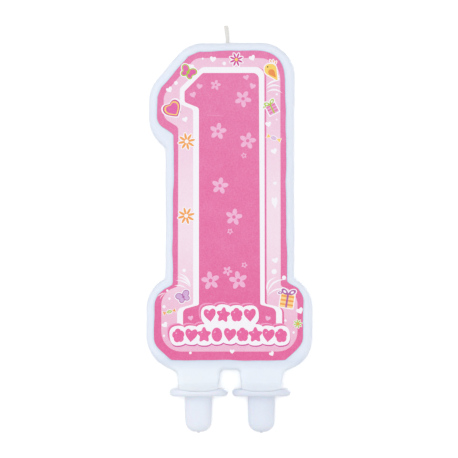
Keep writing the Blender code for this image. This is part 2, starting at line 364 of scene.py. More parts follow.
def paint_wax_shade_by_height(material):
    """Wax tone by height: palest on the legs, with painted shade darker and bluer in the fold above them and
    a touch darker over the figure.
    """
    tree = material.node_tree
    share = remap(tree, object_height(tree), 0.006, 0.016)
    ramp = node(tree, "ShaderNodeValToRGB", {"Fac": share})
    stops = ramp.color_ramp.elements
    # The two leg stops are the wax's own tone; the fold stop and the figure stop are darker and bluer as
    # painted shade.
    tones = (
        (0.0, (236, 242, 249)), (0.28, (235, 241, 249)), (0.56, (222, 230, 244)), (0.85, (230, 236, 248)),
    )
    while len(stops) < len(tones):
        stops.new(0.5)
    for stop, (position, tone) in zip(stops, tones):
        stop.position, stop.color = position, linear(*tone)
    feed_colour(material, ramp.outputs["Color"])


paint_wax_shade_by_height(wax_finish)


# Painted shade: the dark tone laid on the gate nib at the tip of each peg
GATE_PAINTED_SHADE = linear(150, 152, 168)


def plastic_finish(name, tone, shade_height):
    """Satin moulded plastic with a slightly mottled tone, painted dark on the gate nib under the peg as
    painted shade.
    """
    made = finish_material(
        name,
        cast_surface,
        {
            "Colour": linear(*tone),
            "Cloud Colour": linear(*(part - 5 for part in tone)),
            "Cloud Size": 90.0,
            "Cloud Amount": 0.7,
            "Gloss": 0.24,
            "Gloss Spread": 0.2,
            "Grain Size": 2400.0,
            "Pit Amount": 0.0,
        },
        bump_strength=0.08,
        bump_distance=0.0002,
        Subsurface_Weight=0.15,
        Subsurface_Scale=0.001,
        IOR=1.49,
    )
    tree = made.node_tree
    above = remap(tree, object_height(tree), shade_height, shade_height + 0.0001)
    feed_colour(made, mix_colour(tree, above, GATE_PAINTED_SHADE, linear(*tone)))
    return made


# ---- Wax casting

SEAT = 2.43  # underside of the wax legs where they stand on the flanges, at the ends of each foot
FOOT_DIP = 0.72  # the foot's middle sits this much lower, in the flange's cradle
LEG_SETBACK, LEG_TAPER = 0.45, 0.15  # how far a leg's faces lie behind the figure's, and its foot's more
FOOT_FLARE = 1.8  # how far each face of a foot flares out again
FOOT_RIM, LEG_RIM, FIGURE_RIM = 0.14, 1.11, 0.95  # rim radius at the foot, and what leg and figure add to it
POUR_SINK = 0.32  # how far the poured back sinks inside its rim
WICK_MOUND = 0.35  # how far the wax creeps up round the wick
FILL_STEP, FILL_CLEARANCE = 1.4, 0.6  # between the points that fill the flat faces, and from their border
PIN_DEPTH_SHARE = 0.72  # depth over width of a pin and of its holder

WAX_CORNERS = [
    # x, z and radius, running anticlockwise from the left leg's outer shoulder
    (-17.8, 8.1, 1.7), (-17.0, SEAT, 0.45), (-13.6, SEAT - FOOT_DIP, 4.0), (-7.4, SEAT - FOOT_DIP, 4.0),
    (-4.0, SEAT, 0.45), (-3.1, 8.9, 1.5), (3.2, 8.9, 1.5), (4.0, SEAT, 0.45), (7.4, SEAT - FOOT_DIP, 4.0),
    (13.6, SEAT - FOOT_DIP, 4.0), (17.0, SEAT, 0.45), (18.0, 8.2, 1.7), (wax_high[0] - 0.2, 12.4, 10.7),
    (wax_high[0] - 0.2, 35.5, 11.4), (21.25, 39.5, 1.4), (21.5, TOP, 11.0), (-14.0, TOP, 10.7),
    (-26.8, 102.6, 10.0), (-26.8, 87.3, 11.8), (-21.45, 83.0, 1.5), (-21.35, 39.1, 1.5),
    (wax_low[0], 35.8, 10.9), (wax_low[0], 12.9, 11.5),
]


def ease(value, low, high):
    """0 below low, 1 above high, and 3 t squared less 2 t cubed between."""
    t = np.clip((value - low) / (high - low), 0, 1)
    return t * t * (3 - 2 * t)


def wax_half_depth(z):
    """Half the casting's depth at a height: full in the figure, set back on the legs, flared at the feet."""
    setback = LEG_SETBACK * (1 - ease(z, 9.3, 11.8)) + LEG_TAPER * (1 - ease(z, 3.0, 9.0))
    return HALF_DEPTH - setback + FOOT_FLARE * (1 - ease(z, 1.4, 4.6))


def wax_rim(z):
    """Radius of the rounded rim at a height: wide round the figure, tight on the legs, nearly sharp below."""
    return FOOT_RIM + LEG_RIM * ease(z, 2.6, 4.2) + FIGURE_RIM * ease(z, 5.5, 10.5)


def wax_skin():
    """The casting's side as rings (row, point, xyz) from the front face's border round to the back's.

    Round the outline each point is carried over a section: inset = rim (1 - cos a) and depth = half depth
    less rim (1 - sin a) while a runs from 90 degrees to 0 at the front, straight across with a low parting
    ridge in the middle, and back up to 90. The outline wavers by three summed sines, and the wax stands up
    round the wick as a bell curve.
    """
    edge, inward = evenly(*rounded(WAX_CORNERS, 24), 0.5)
    way = np.arange(len(edge)) / len(edge) * 2 * np.pi
    sway = 0.07 * np.sin(5 * way + 1.0) + 0.05 * np.sin(13 * way + 2.4) + 0.03 * np.sin(29 * way)
    edge = edge + inward * (sway * ease(edge[:, 1], 9, 20))[:, None]
    rim, half = wax_rim(edge[:, 1]), wax_half_depth(edge[:, 1])
    angle = np.radians(np.linspace(90, 0, 9))
    inset = rim[None] * (1 - np.cos(angle[:, None]))
    depth = half[None] - rim[None] * (1 - np.sin(angle[:, None]))
    across = np.array([-0.6, -0.2, -0.03, 0.0, 0.03, 0.2, 0.6])[:, None] * (half - rim)[None]
    ridge = np.array([0, 0, 0, -0.05, 0, 0, 0])[:, None] * ease(edge[:, 1], 3, 6)[None]
    inset = np.vstack([inset, ridge, inset[::-1]])
    y = np.vstack([-depth, across, depth[::-1]])
    x = edge[None, :, 0] + inset * inward[None, :, 0]
    z = edge[None, :, 1] + inset * inward[None, :, 1]
    near_wick = np.hypot(x - wick_x(TOP), y) / 0.95
    z = z + WICK_MOUND * np.exp(-(near_wick**2)) * (z > TOP - 1)
    return np.stack([x, y, z], axis=-1)


def wax_casting():
    """The cast numeral and its legs as one skin, with a pin under each leg.

    The flat faces are filled with triangles over an even grid; the back one, where the wax was poured,
    sinks a little away from its rim.
    """
    rings = wax_skin()
    rows, columns = rings.shape[:2]
    skin = rings.reshape(-1, 3)
    border = rings[0][:, [0, 2]]
    levels = np.concatenate([np.arange(2.0, 13.0, 0.5), np.arange(13.0, TOP, FILL_STEP)])
    across = np.arange(wax_low[0], wax_high[0], FILL_STEP)
    spots = np.stack(np.meshgrid(across, levels), axis=-1).reshape(-1, 2)
    near = np.min(np.linalg.norm(spots[:, None] - border[None], axis=2), axis=1)
    kept = inside(spots, border) & (near > FILL_CLEARANCE)
    spots, near = spots[kept], near[kept]
    triangles = fill(border, spots)
    front_spots = np.column_stack([spots[:, 0], -wax_half_depth(spots[:, 1]), spots[:, 1]])
    uneven = 0.05 * np.sin(0.21 * spots[:, 0] + 1.0) * np.sin(0.17 * spots[:, 1])
    sunk = POUR_SINK * ease(near, FILL_CLEARANCE, 7.0) + uneven
    back_spots = front_spots * [1, -1, 1] - np.outer(sunk * ease(spots[:, 1], 9, 14), [0, 1, 0])
    loose = len(skin) + np.arange(len(spots))
    at_front = np.concatenate([np.arange(columns), loose])
    at_back = np.concatenate([(rows - 1) * columns + np.arange(columns), loose + len(spots)])
    points = np.vstack([skin, front_spots, back_spots])
    faces = [*grid_faces(rows, columns)[:, ::-1], *at_front[triangles], *at_back[triangles[:, ::-1]]]
    for centre_x in leg_centres:
        pin, pin_faces = turned(pin_profile(), PIN_DEPTH_SHARE, 2.0, 48, centre_x)
        faces += [face + len(points) for face in pin_faces]
        points = np.vstack([points, pin])
    return make_piece("wax_casting", points, faces, wax_finish)


def fill(border, spots):
    """Anticlockwise triangles between a closed border and loose spots inside it."""
    flat = np.vstack([border, spots])
    edges = [(i, (i + 1) % len(border)) for i in range(len(border))]
    made = delaunay_2d_cdt([Vector(p) for p in flat.tolist()], edges, [list(range(len(border)))], 1, 1e-6)
    source = np.array([ids[0] for ids in made[3]])
    triangles = source[np.array(made[2])]
    corner = flat[triangles]
    first, second = corner[:, 1] - corner[:, 0], corner[:, 2] - corner[:, 0]
    clockwise = first[:, 0] * second[:, 1] - first[:, 1] * second[:, 0] < 0
    triangles[clockwise] = triangles[clockwise][:, ::-1]
    return triangles


def pin_profile():
    """Half section of the wax pin, from its rounded tip up into the leg."""
    tip = wax_low[2]
    bend = np.radians(np.linspace(-90, 0, 8))
    low = np.column_stack([1.7 + 1.0 * np.cos(bend), tip + 1.0 + np.sin(bend)])
    return np.vstack([[[0, tip]], low, [[3.05, 0.0], [3.1, SEAT + 1.5], [0, SEAT + 1.6]]])


WICK_CENTRE, WICK_LEAN = -0.8, 0.55  # the wick's place in the wax, and how far its tip leans to -x


def wick_x(z):
    """The wick's centre: straight in the wax, then leaning to -x with the square of the height."""
    free = np.clip((z - TOP) / (wick_high[2] - TOP), 0, 1)
    return WICK_CENTRE - WICK_LEAN * free**2


left_low, left_high = (np.array(corner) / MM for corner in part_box("left_holder"))
right_low, right_high = (np.array(corner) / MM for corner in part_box("right_holder"))
leg_centres = [(left_low[0] + left_high[0]) / 2, (right_low[0] + right_high[0]) / 2]

casting = wax_casting()
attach(casting, "candle")
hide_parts("wax_body")

# ---- Holders


def holder_profile():
    """Half section (radius, height) of a holder, from the gate mark up the outside and down the socket."""
    bottom, top, rim = left_low[2], left_high[2], (left_high[0] - left_low[0]) / 2
    lip = top / 2  # radius of the flange's rounded edge
    gate = [[0, bottom], [0.36, bottom], [0.42, bottom + 0.12], [0.46, bottom + 0.27], [0.7, bottom + 0.26]]
    bend = np.radians(np.linspace(-80, 0, 16))
    tip_radius, tip_height = 4.33, 3.8
    bowl_x, bowl_z = np.cos(bend) ** 0.86, -np.abs(np.sin(bend)) ** 0.92
    bowl = np.column_stack([tip_radius * bowl_x, bottom + 0.2 + tip_height * (1 + bowl_z)])
    bend = np.radians(np.linspace(180, 90, 6))
    root = np.column_stack([5.0 + 0.5 * np.cos(bend), -0.5 + 0.5 * np.sin(bend)])
    bend = np.radians(np.linspace(-90, 90, 17))
    edge = np.column_stack([rim - lip + lip * np.cos(bend), lip + lip * np.sin(bend)])
    mouth = [[6.5, top], [5.0, top], [3.75, top], [3.45, top - 0.08], [3.35, top - 0.35]]
    floor = [[3.3, 0.0], [3.02, -7.6], [2.9, -8.0], [2.6, -8.15], [0, -8.15]]
    return np.vstack([gate, bowl, [[4.48, -3.0], [4.52, -0.9]], root, [[6.5, 0.0]], edge, mouth, floor])


CRADLE_FLAT, CRADLE_END = 3.1, 6.4  # from a holder's middle: the cradle is at full depth, and gone
GATE_SHADE_HEIGHT = (left_low[2] + 0.14) * MM  # below this the nib where the plastic came in is painted dark, as painted shade under the peg


def holder(name, centre_x, tone):
    """A moulded holder; its flange's top is lowered into a shallow cradle where the wax leg's foot sits.

    The cradle follows the foot's underside: full depth about the holder's middle, rising evenly to nothing.
    It moves a point in full at the flange's top and not at all below 0.7. In plan the peg is squarer than
    the flange. Near its rim the flange's top is fuller from front to back, but never deeper than its widest
    ring is at the peg's share.
    """
    profile = holder_profile()
    radius, height = profile.T
    squareness = 3.0 - 0.4 * ease(height, -0.6, 0.3) * ease(radius, 4.2, 6.5)
    fuller = PIN_DEPTH_SHARE + 0.075 * ease(height, 1.0, 2.4) * ease(radius, 5.5, 8.0)
    share = np.minimum(fuller, PIN_DEPTH_SHARE * radius.max() / np.maximum(radius, 0.01))
    points, faces = turned(profile, share, squareness, 144, centre_x)
    reach = np.abs(points[:, 0] - centre_x)
    cradle = FOOT_DIP * np.clip((CRADLE_END - reach) / (CRADLE_END - CRADLE_FLAT), 0, 1)
    points[:, 2] -= cradle * np.clip((points[:, 2] - 0.7) / (left_high[2] - 0.7), 0, 1)
    finish = plastic_finish(name + "_plastic", tone, GATE_SHADE_HEIGHT)
    piece = make_piece(name + "_moulding", points, faces, finish)
    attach(piece, name)
    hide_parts(name)


# Both holders are one plastic; the right one's tone is set darker as painted shade, the light falling from
# the left
holder("left_holder", leg_centres[0], (231, 236, 246))
holder("right_holder", leg_centres[1], (226, 232, 244))

# ---- Wick

CORD_RADIUS, FRAYED_RADIUS, CAP_HEIGHT = 0.55, 0.74, 0.35
TWIST = 2.2  # radians of ply turn for each millimetre


def twisted_wick():
    """Three-ply cord: radius = r (0.8 + 0.2 |cos 1.5 (a - twist)| to the 0.7), the twist rising with height.

    The free end swells a little as its plies open, and it closes in a rounded cap.
    """
    bottom, top = wick_low[2], wick_high[2]
    cast_z = np.linspace(bottom, TOP - 1.0, 220)
    free_z = np.linspace(TOP - 0.9, top - CAP_HEIGHT, 90)
    cap = np.radians(np.linspace(8, 84, 10))
    z = np.concatenate([cast_z, free_z, top - CAP_HEIGHT + CAP_HEIGHT * np.sin(cap)])
    swollen = np.interp(free_z, [TOP, top - 2.5, top - 1], [0.52, 0.66, FRAYED_RADIUS])
    radius = np.concatenate([np.full(len(cast_z), CORD_RADIUS), swollen, FRAYED_RADIUS * np.cos(cap)])
    angle = np.linspace(0, 2 * np.pi, 36, endpoint=False)[None, :]
    lobes = 0.80 + 0.20 * np.abs(np.cos(1.5 * (angle - (z * TWIST)[:, None]))) ** 0.7
    r = radius[:, None] * lobes
    x = wick_x(z)[:, None] + r * np.cos(angle)
    rings = np.stack([x, r * np.sin(angle), np.broadcast_to(z[:, None], x.shape)], axis=-1)
    return capped(rings, [[wick_x(end), 0, end] for end in (bottom, top)])


def cotton_finish():
    """Off-white cotton with fibres drawn out along the cord."""
    made, tree, shader = new_material("waxed_cotton")
    stretched = node(tree, "ShaderNodeMapping", {"Vector": object_place(tree), "Scale": (1.0, 1.0, 0.25)})
    fibre = noise(tree, stretched.outputs[0], 5200.0, 3.0)
    tone = mix_colour(tree, fibre, linear(214, 211, 204), linear(243, 242, 238))
    relief = node(tree, "ShaderNodeBump", {"Height": fibre, "Strength": 0.4, "Distance": 0.0001})
    tree.links.new(tone, shader.inputs["Base Color"])
    tree.links.new(relief.outputs[0], shader.inputs["Normal"])
    shader.inputs["Roughness"].default_value = 0.7
    return made


wick = make_piece("twisted_wick", *twisted_wick(), cotton_finish())
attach(wick, "candle")
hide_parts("wick")

# ---- Printed film: every shape is laid in turn, and the last one over a spot gives its ink

laid = []


def placed(outline, x, z, tilt=0.0):
    """An outline turned anticlockwise about (0, 0) by tilt degrees, then moved by (x, z)."""
    t = math.radians(tilt)
    return np.asarray(outline) @ [[math.cos(t), math.sin(t)], [-math.sin(t), math.cos(t)]] + [x, z]


def lay(ink, outline, x=0.0, z=0.0, tilt=0.0):
    """Adds a closed outline in millimetres, placed so, to the print, over what is laid already."""
    laid.append((ink, placed(outline, x, z, tilt)))


def oval(half_width, half_height, count=18):
    """An ellipse of a few points, anticlockwise."""
    a = np.linspace(0, 2 * np.pi, count, endpoint=False)
    return np.column_stack([half_width * np.cos(a), half_height * np.sin(a)])


def slab(low_x, low_z, high_x, high_z):
    """A rectangle, anticlockwise."""
    return np.array([(low_x, low_z), (high_x, low_z), (high_x, high_z), (low_x, high_z)])


def dot(ink, x, z, radius):
    """Lays a round spot."""
    lay(ink, oval(radius, radius, 14), x, z)


def grown(outline, margin):
    """An anticlockwise outline moved out by a margin along the mean normal of each point's two edges."""
    outline = np.asarray(outline, float)
    ahead = np.roll(outline, -1, axis=0) - outline
    ahead /= np.maximum(np.linalg.norm(ahead, axis=1, keepdims=True), 1e-9)
    mean = ahead + np.roll(ahead, 1, axis=0)
    mean /= np.maximum(np.linalg.norm(mean, axis=1, keepdims=True), 1e-9)
    return outline + margin * np.column_stack([mean[:, 1], -mean[:, 0]])


def heart(width, count=28, plump=0.2):
    """Across sin t to the 2.4, up (13 cos t - 5 cos 2t - 2 cos 3t - cos 4t + 2.5) / 16; plump rounds it."""
    t = np.linspace(2 * np.pi, 0, count, endpoint=False)
    s, c = np.sin(t), np.cos(t)
    across = (1 - plump) * np.sign(s) * np.abs(s) ** 2.4 + plump * s
    up = (1 - plump) * (13 * c - 5 * np.cos(2 * t) - 2 * np.cos(3 * t) - np.cos(4 * t) + 2.5) / 16 + plump * c
    return np.column_stack([across, up]) * width / 2


def star(radius, waist=0.56, count=50):
    """A puffy five-pointed star: the radius falls from its points to the waist as a rounded wave."""
    a = np.linspace(0, 2 * np.pi, count, endpoint=False)
    wave = 0.5 + 0.5 * np.cos(5 * (a - np.pi / 2))
    r = radius * (waist + (1 - waist) * wave**1.25)
    return np.column_stack([r * np.cos(a), r * np.sin(a)])


def blossom(radius, notch=0.2):
    """A rounded five-petal head: radius times 1 - notch + notch |cos of half the petal angle| to the 0.6."""
    a = np.linspace(0, 2 * np.pi, 60, endpoint=False)
    r = radius * (1 - notch + notch * np.abs(np.cos(5 / 2 * (a - np.pi / 2))) ** 0.6)
    return np.column_stack([r * np.cos(a), r * np.sin(a)])


def petals(ink, x, z, radius, number, tilt, inner, half_width, grow=0.0):
    """Oval petals from an inner share of the radius out to the radius."""
    reach, half_length = radius * (1 + inner) / 2, radius * (1 - inner) / 2
    for k in range(number):
        petal = oval(half_length + grow, half_width * radius + grow, 14) + [reach, 0]
        lay(ink, petal, x, z, tilt + 360 * k / number)


def column_flower(x, z, radius, tilt):
    """Five pale petals round an open middle."""
    petals("petal_pink", x, z, radius, 5, tilt, 0.16, 0.27)
    dot("petal_pink", x, z, radius * 0.40)
    dot("hot_pink", x, z, radius * 0.21)


def daisy(ink, middle, x, z, radius, tilt, halo=0.33):
    """Eight thin petals with a white surround and a round middle."""
    petals("white", x, z, radius, 8, tilt, 0.1, 0.15, halo)
    dot("white", x, z, radius * 0.5)
    petals(ink, x, z, radius, 8, tilt, 0.16, 0.135)
    dot(ink, x, z, radius * 0.34)
    dot(middle, x, z, radius * 0.24)


def blade(ink, x, z, length, rise, thickness, tilt):
    """A thin curved blade: an arch 4 rise t (1 - t) high, thickest in the middle and pointed at its ends."""
    t = np.linspace(0, 1, 12)
    arch, half = rise * 4 * t * (1 - t), thickness * 2 * t * (1 - t)
    low = np.column_stack([length * t, arch - half])
    top = np.column_stack([length * t, arch + half])[1:-1][::-1]
    lay(ink, np.vstack([low, top]), x, z, tilt)


# Bands of the print, as corners (x, z, radius) running anticlockwise from the top left

FILM_EDGE = [
    (-10.4, 115.2, 2.0), (-14.1, 113.6, 1.0), (-23.0, 103.2, 1.5), (-24.3, 100.0, 2.5), (-24.5, 90.7, 4.5),
    (-19.0, 87.2, 0.8), (-19.4, 37.4, 0.8), (-25.5, 34.6, 8.0), (-25.5, 17.6, 5.0), (-19.7, 11.75, 1.6),
    (18.4, 11.8, 1.6), (24.7, 17.8, 5.0), (24.7, 33.2, 5.0), (22.8, 36.4, 1.6), (19.2, 38.2, 0.7),
    (18.6, 115.65, 9.0),
]
PALE_FRAME = [
    (-11.6, 112.8, 4.5), (-22.1, 100.5, 4.5), (-22.1, 92.8, 3.0), (-17.25, 89.7, 1.6), (-17.4, 36.6, 1.2),
    (-22.9, 34.8, 6.0), (-22.9, 14.95, 6.6), (22.5, 14.95, 6.6), (22.5, 34.9, 6.0), (16.9, 36.7, 1.2),
    (16.75, 112.8, 7.0),
]
WHITE_BAND = [
    (-9.3, 109.8, 2.2), (-16.75, 102.7, 1.5), (-16.75, 97.4, 1.5), (-12.3, 95.7, 1.4), (-12.3, 30.7, 0.8),
    (-17.65, 29.3, 2.3), (-17.65, 17.6, 1.0), (17.4, 17.6, 1.0), (17.4, 29.6, 2.3), (11.6, 30.9, 0.8),
    (11.45, 109.8, 3.0),
]
INNER_FIGURE = [
    (-9.1, 107.8, 1.2), (-15.15, 101.7, 0.9), (-15.15, 98.1, 1.0), (-10.35, 96.2, 1.2), (-10.35, 30.5, 0.7),
    (-15.65, 29.0, 1.7), (-15.65, 18.6, 1.0), (15.35, 18.6, 1.0), (15.35, 29.2, 1.9), (10.1, 30.6, 0.7),
    (9.6, 107.8, 2.0),
]

CLEAR_MARGIN = 0.23  # bare film left round the print where it was cut out


def cut_line():
    """The film's hand-cut edge: its rounded corners with a slow waver of three summed sines."""
    point, normal = evenly(*rounded(FILM_EDGE, 8), 0.9)
    a = np.arange(len(point)) / len(point) * 2 * np.pi
    waver = 0.10 * np.sin(7 * a + 0.6) + 0.07 * np.sin(17 * a + 2.0) + 0.05 * np.sin(31 * a + 4.0)
    return point + normal * waver[:, None]


def lay_bands():
    """The print's bands from the clear edge inwards, with a thin pink line beside the white one."""
    film = cut_line()
    lay("clear_edge", film)
    lay("hot_pink", grown(film, -CLEAR_MARGIN))
    lay("pale_pink", rounded(PALE_FRAME)[0])
    band = rounded(WHITE_BAND)[0]
    lay("hot_pink", band + [0.62, -0.12])
    lay("pale_pink", grown(band, 0.12) + [-0.3, 0.0])
    lay("white", band)
    lay("hot_pink", rounded(INNER_FIGURE)[0])


def lay_column_motifs():
    """Pale flowers, hearts and open stars scattered over the pink middle."""
    for x, z, width, tilt in (
        (-10.2, 103.3, 2.0, -12), (-12.3, 100.5, 2.1, 22), (5.4, 106.3, 1.9, 15), (7.5, 103.4, 2.1, -20),
        (-13.1, 26.1, 1.8, 10), (12.6, 26.0, 1.8, -15),
    ):
        lay("petal_pink", heart(width), x, z, tilt)
    for x, z, radius, tilt in (
        (-4.8, 103.8, 1.75, 78), (4.35, 99.2, 2.85, 60), (-4.0, 88.4, 2.85, 80), (5.9, 85.2, 2.85, 78),
        (-3.35, 70.2, 2.85, 80), (1.3, 59.8, 2.85, 80), (-0.8, 41.8, 1.65, 64), (-6.5, 38.6, 3.1, 99),
        (2.75, 38.7, 3.1, 99),
    ):
        column_flower(x, z, radius, tilt)
    for x, z, tilt in ((4.65, 80.3, 15), (0.0, 55.0, 40), (4.8, 43.8, 50)):
        lay("petal_pink", star(1.05, count=30), x, z, tilt)
        lay("hot_pink", star(0.5, count=20), x, z, tilt)


def lay_white_specks():
    """Small white hearts and dots over the border and the pale frame."""
    for x, z, width, tilt in (
        (-5.7, 112.4, 2.1, -8), (7.4, 112.8, 2.1, 25), (-20.2, 102.2, 2.1, 30), (-15.0, 92.3, 1.9, 20),
        (12.8, 90.7, 2.0, 10), (14.7, 81.7, 2.1, 20), (15.1, 45.3, 2.1, 15), (-21.7, 23.8, 2.0, 35),
        (23.3, 28.5, 2.3, 25), (0.7, 14.95, 1.6, 0), (13.9, 14.2, 1.7, 30), (15.0, 71.0, 1.3, 10),
    ):
        lay("white", heart(width), x, z, tilt)
    for x, z, radius in (
        (-9.1, 112.6, 0.35), (-1.9, 111.0, 0.62), (-18.0, 104.5, 0.65), (-15.3, 42.0, 0.6), (14.7, 41.6, 0.9),
        (18.0, 39.6, 0.7), (-20.9, 35.3, 0.4), (-20.2, 32.6, 0.4), (-22.0, 29.9, 0.55), (-22.0, 20.2, 0.4),
        (18.5, 25.3, 0.4), (21.2, 21.3, 0.42), (-13.2, 14.5, 0.45), (15.6, 100.7, 0.38), (15.6, 92.3, 0.3),
        (-13.6, 110.2, 0.6), (-12.6, 110.0, 0.65), (-11.9, 109.4, 0.45),
    ):
        dot("white", x, z, radius)
    lay("white", heart(2.0) * [1.0, 2.1], 14.9, 64.6, 6)


BLADE_THICKNESS = 1.35


def lay_grass():
    """White blades fanning under the bird and at both shoulders of the base."""
    for x, z, length, rise, share, tilt in (
        (12.0, 103.4, 5.1, 0.6, 0.45, 22), (12.0, 102.5, 5.1, 0.9, 0.46, 7),
        (12.0, 101.2, 5.4, 1.1, 0.45, -1), (-17.1, 41.0, 6.0, 0.9, 0.4, -48),
        (-17.8, 39.9, 5.8, 0.9, 0.38, -36), (-18.1, 38.6, 5.5, 0.8, 0.36, -25),
        (-18.6, 36.9, 4.2, 0.5, 0.3, -13),
        (12.6, 34.2, 6.4, 1.6, 0.42, 62), (12.4, 33.6, 8.6, 2.0, 0.42, 38), (12.4, 33.2, 7.2, 1.5, 0.36, 16),
        (-24.2, 33.2, 3.4, 0.4, 0.2, 22), (-23.4, 32.4, 2.6, 0.3, 0.16, 46),
    ):
        blade("white", x, z, length, rise, BLADE_THICKNESS * share, tilt)


def butterfly(x, z, size, tilt, wing, inner, body, outline=0.32):
    """Two upper and two lower oval wings about a slim body, with a white surround."""
    wings = (
        (0.245, 0.12, 0.27, 0.225, 30), (-0.245, 0.12, 0.27, 0.225, -30),
        (0.175, -0.185, 0.215, 0.185, -42), (-0.175, -0.185, 0.215, 0.185, 42),
    )
    for grow, ink in ((0.3, "white"), (0.0, wing), (-outline, inner)):
        for wx, wz, half_width, half_height, lean in wings:
            lobe = oval(size * half_width + grow, size * half_height + grow, 18)
            lay(ink, placed(lobe, wx * size, wz * size, lean), x, z, tilt)
    for side in (-1, 1):
        lay(inner, oval(size * 0.09, size * 0.13, 12) + [side * size * 0.215, -0.035 * size], x, z, tilt)
    lay(body, oval(size * 0.03, size * 0.2, 12), x, z, tilt)


def candy(x, z, length, tilt, middle, ends):
    """A wrapped sweet: an oval middle with a fanned wrapper at each end, on a white surround."""
    fan = np.array([(0.2, 0.0), (0.5, -0.15), (0.46, 0.0), (0.5, 0.15)]) * length
    for grow, end_ink, middle_ink in ((0.25, "white", "white"), (0.0, ends, middle)):
        for side in (0, 180):
            lay(end_ink, placed(grown(fan, grow), 0, 0, side), x, z, tilt)
        lay(middle_ink, oval(length * 0.2 + grow, length * 0.125 + grow, 18), x, z, tilt)
    for k in (-1, 0, 1):
        lay("white", oval(0.07, length * 0.09, 8) + [k * length * 0.1, 0], x, z, tilt)


def gift(x, z, size, tilt, paper, stripe, ribbon):
    """A wrapped box with cross stripes, a ribbon down its middle and two bow loops on its lid."""
    half = size / 2
    box = slab(-half, -half, half, half)
    bow = [(-0.28, 0.68, 0.3, 0.18, -34), (0.3, 0.7, 0.3, 0.18, 34), (-0.6, 0.54, 0.17, 0.1, 14)]
    for wx, wz, half_width, half_height, lean in bow:
        loop = oval(size * half_width + 0.34, size * half_height + 0.34, 16)
        lay("white", placed(loop, wx * size, wz * size, lean), x, z, tilt)
    lay("white", grown(box, 0.5), x, z, tilt)
    lay(paper, box, x, z, tilt)
    for k in range(3):
        level = -half + size * (0.16 + 0.31 * k)
        lay(stripe, slab(-half, level, half, level + size * 0.13), x, z, tilt)
    lay(ribbon, slab(-0.07, -0.5, 0.07, 0.5) * size, x, z, tilt)
    for wx, wz, half_width, half_height, lean in bow:
        for ink, share in ((ribbon, 1.0), ("white", 0.45)):
            loop = oval(size * half_width * share, size * half_height * share, 14)
            lay(ink, placed(loop, wx * size, wz * size, lean), x, z, tilt)
    lay(ribbon, oval(size * 0.11, size * 0.09, 12) + [0, size * 0.53], x, z, tilt)


def bird(x, z, size):
    """A plump little bird: a round body running down into a tail, a small wing and a tuft."""
    body = rounded([(-0.52, 0.44, 0.42), (-0.5, -0.3, 0.42), (0.62, -0.98, 0.07), (0.46, 0.5, 0.46)], 10)[0]
    body *= size
    tuft = [(0.02, 0.68, 22), (0.24, 0.68, 2), (0.44, 0.56, -26)]
    for tx, tz, lean in tuft:
        lay("white", oval(0.12 * size, 0.24 * size, 10), x + tx * size, z + tz * size, lean)
    for tx, tz, lean in ((0.5, -0.5, -20), (0.56, -0.68, -36)):
        lay("white", oval(0.3 * size, 0.09 * size, 12), x + tx * size, z + tz * size, lean)
    lay("white", grown(body, 0.36), x, z)
    lay("yellow", body, x, z)
    for tx, tz, lean in tuft:
        lay("orange", oval(0.045 * size, 0.13 * size, 8), x + tx * size, z + tz * size + 0.1, lean)
    wing = rounded([(-0.22, 0.0, 0.2), (-0.16, -0.42, 0.22), (0.48, -0.7, 0.05), (0.3, 0.0, 0.24)], 8)[0]
    lay("deep_orange", wing * size, x, z)
    dot("dark", x - 0.24 * size, z + 0.22 * size, 0.24)


def lay_print_flaws():
    """A faint scuffed line across the pink and one speck of stray ink."""
    blade("hot_pale", -8.1, 93.55, 6.3, 0.04, 0.15, 0)
    dot("dark", -16.5, 94.8, 0.13)


def lay_motifs():
    """Daisies, butterflies, sweets, gifts, the big heart and the bird round the frame."""
    daisy("magenta", "yellow", 2.1, 112.25, 2.3, 22)
    daisy("orange", "white", -14.45, 85.0, 2.85, 12)
    daisy("orange", "white", -14.6, 60.2, 2.85, 15)
    daisy("green", "orange", 22.6, 24.2, 1.55, 10, 0.15)
    butterfly(-13.9, 108.2, 5.5, -28, "green", "magenta_light", "green", 0.36)
    butterfly(-15.6, 33.3, 4.9, 24, "purple", "lilac", "purple", 0.24)
    for ink, width in (("white", 7.1), ("magenta", 6.1), ("yellow", 5.2), ("magenta_light", 4.2)):
        lay(ink, heart(width, 44, 0.36), -19.1, 95.75, 34)
    bird(13.5, 109.0, 3.9)
    gift(14.1, 95.8, 3.3, 27, "gift_pink", "hot_pink", "green")
    gift(19.0, 31.8, 4.4, -9, "cream", "orange", "purple")
    candy(14.6, 86.1, 4.9, -20, "lilac", "yellow")
    candy(-20.2, 28.2, 4.4, 16, "green", "orange")


BANNER_ROWS = (
    # x of the first shape, step, z at the middle, sag towards the ends, size, shapes
    (-6.7, 4.45, 27.15, 0.0, 1.92, ("heart", "star", "blossom", "heart")),
    (
        -17.2, 4.28, 20.6, 0.35, 1.95,
        ("blossom", "heart", "star", "oval", "heart", "blossom", "star", "heart", "blossom"),
    ),
)


def banner_shapes():
    """Each puffy shape of the banner's two rows, with its place: no lettering, only party shapes."""
    for first, step, level, sag, size, names in BANNER_ROWS:
        for k, name in enumerate(names):
            x = first + k * step
            z = level - sag * (x / 17.0) ** 2
            outline = {
                "heart": heart(size * 2.1, 32) * [1.0, 1.2],
                "star": star(size * 1.22, waist=0.64) * [1.0, 1.12],
                "blossom": blossom(size * 1.06) * [1.0, 1.15],
                "oval": oval(size * 0.9, size * 1.22, 24),
            }[name]
            yield outline, x, z, 7 * math.sin(2.3 * k + level)


def puff(outline):
    """A plump superellipse (cos and sin to the power 2 / 2.6) that stands 0.95 clear of a shape all round."""
    half = np.abs(outline).max(axis=0) + 0.95
    a = np.linspace(0, 2 * np.pi, 32, endpoint=False)
    way = np.column_stack([np.cos(a), np.sin(a)])
    return half * (np.sign(way) * np.abs(way) ** (2 / 2.6))


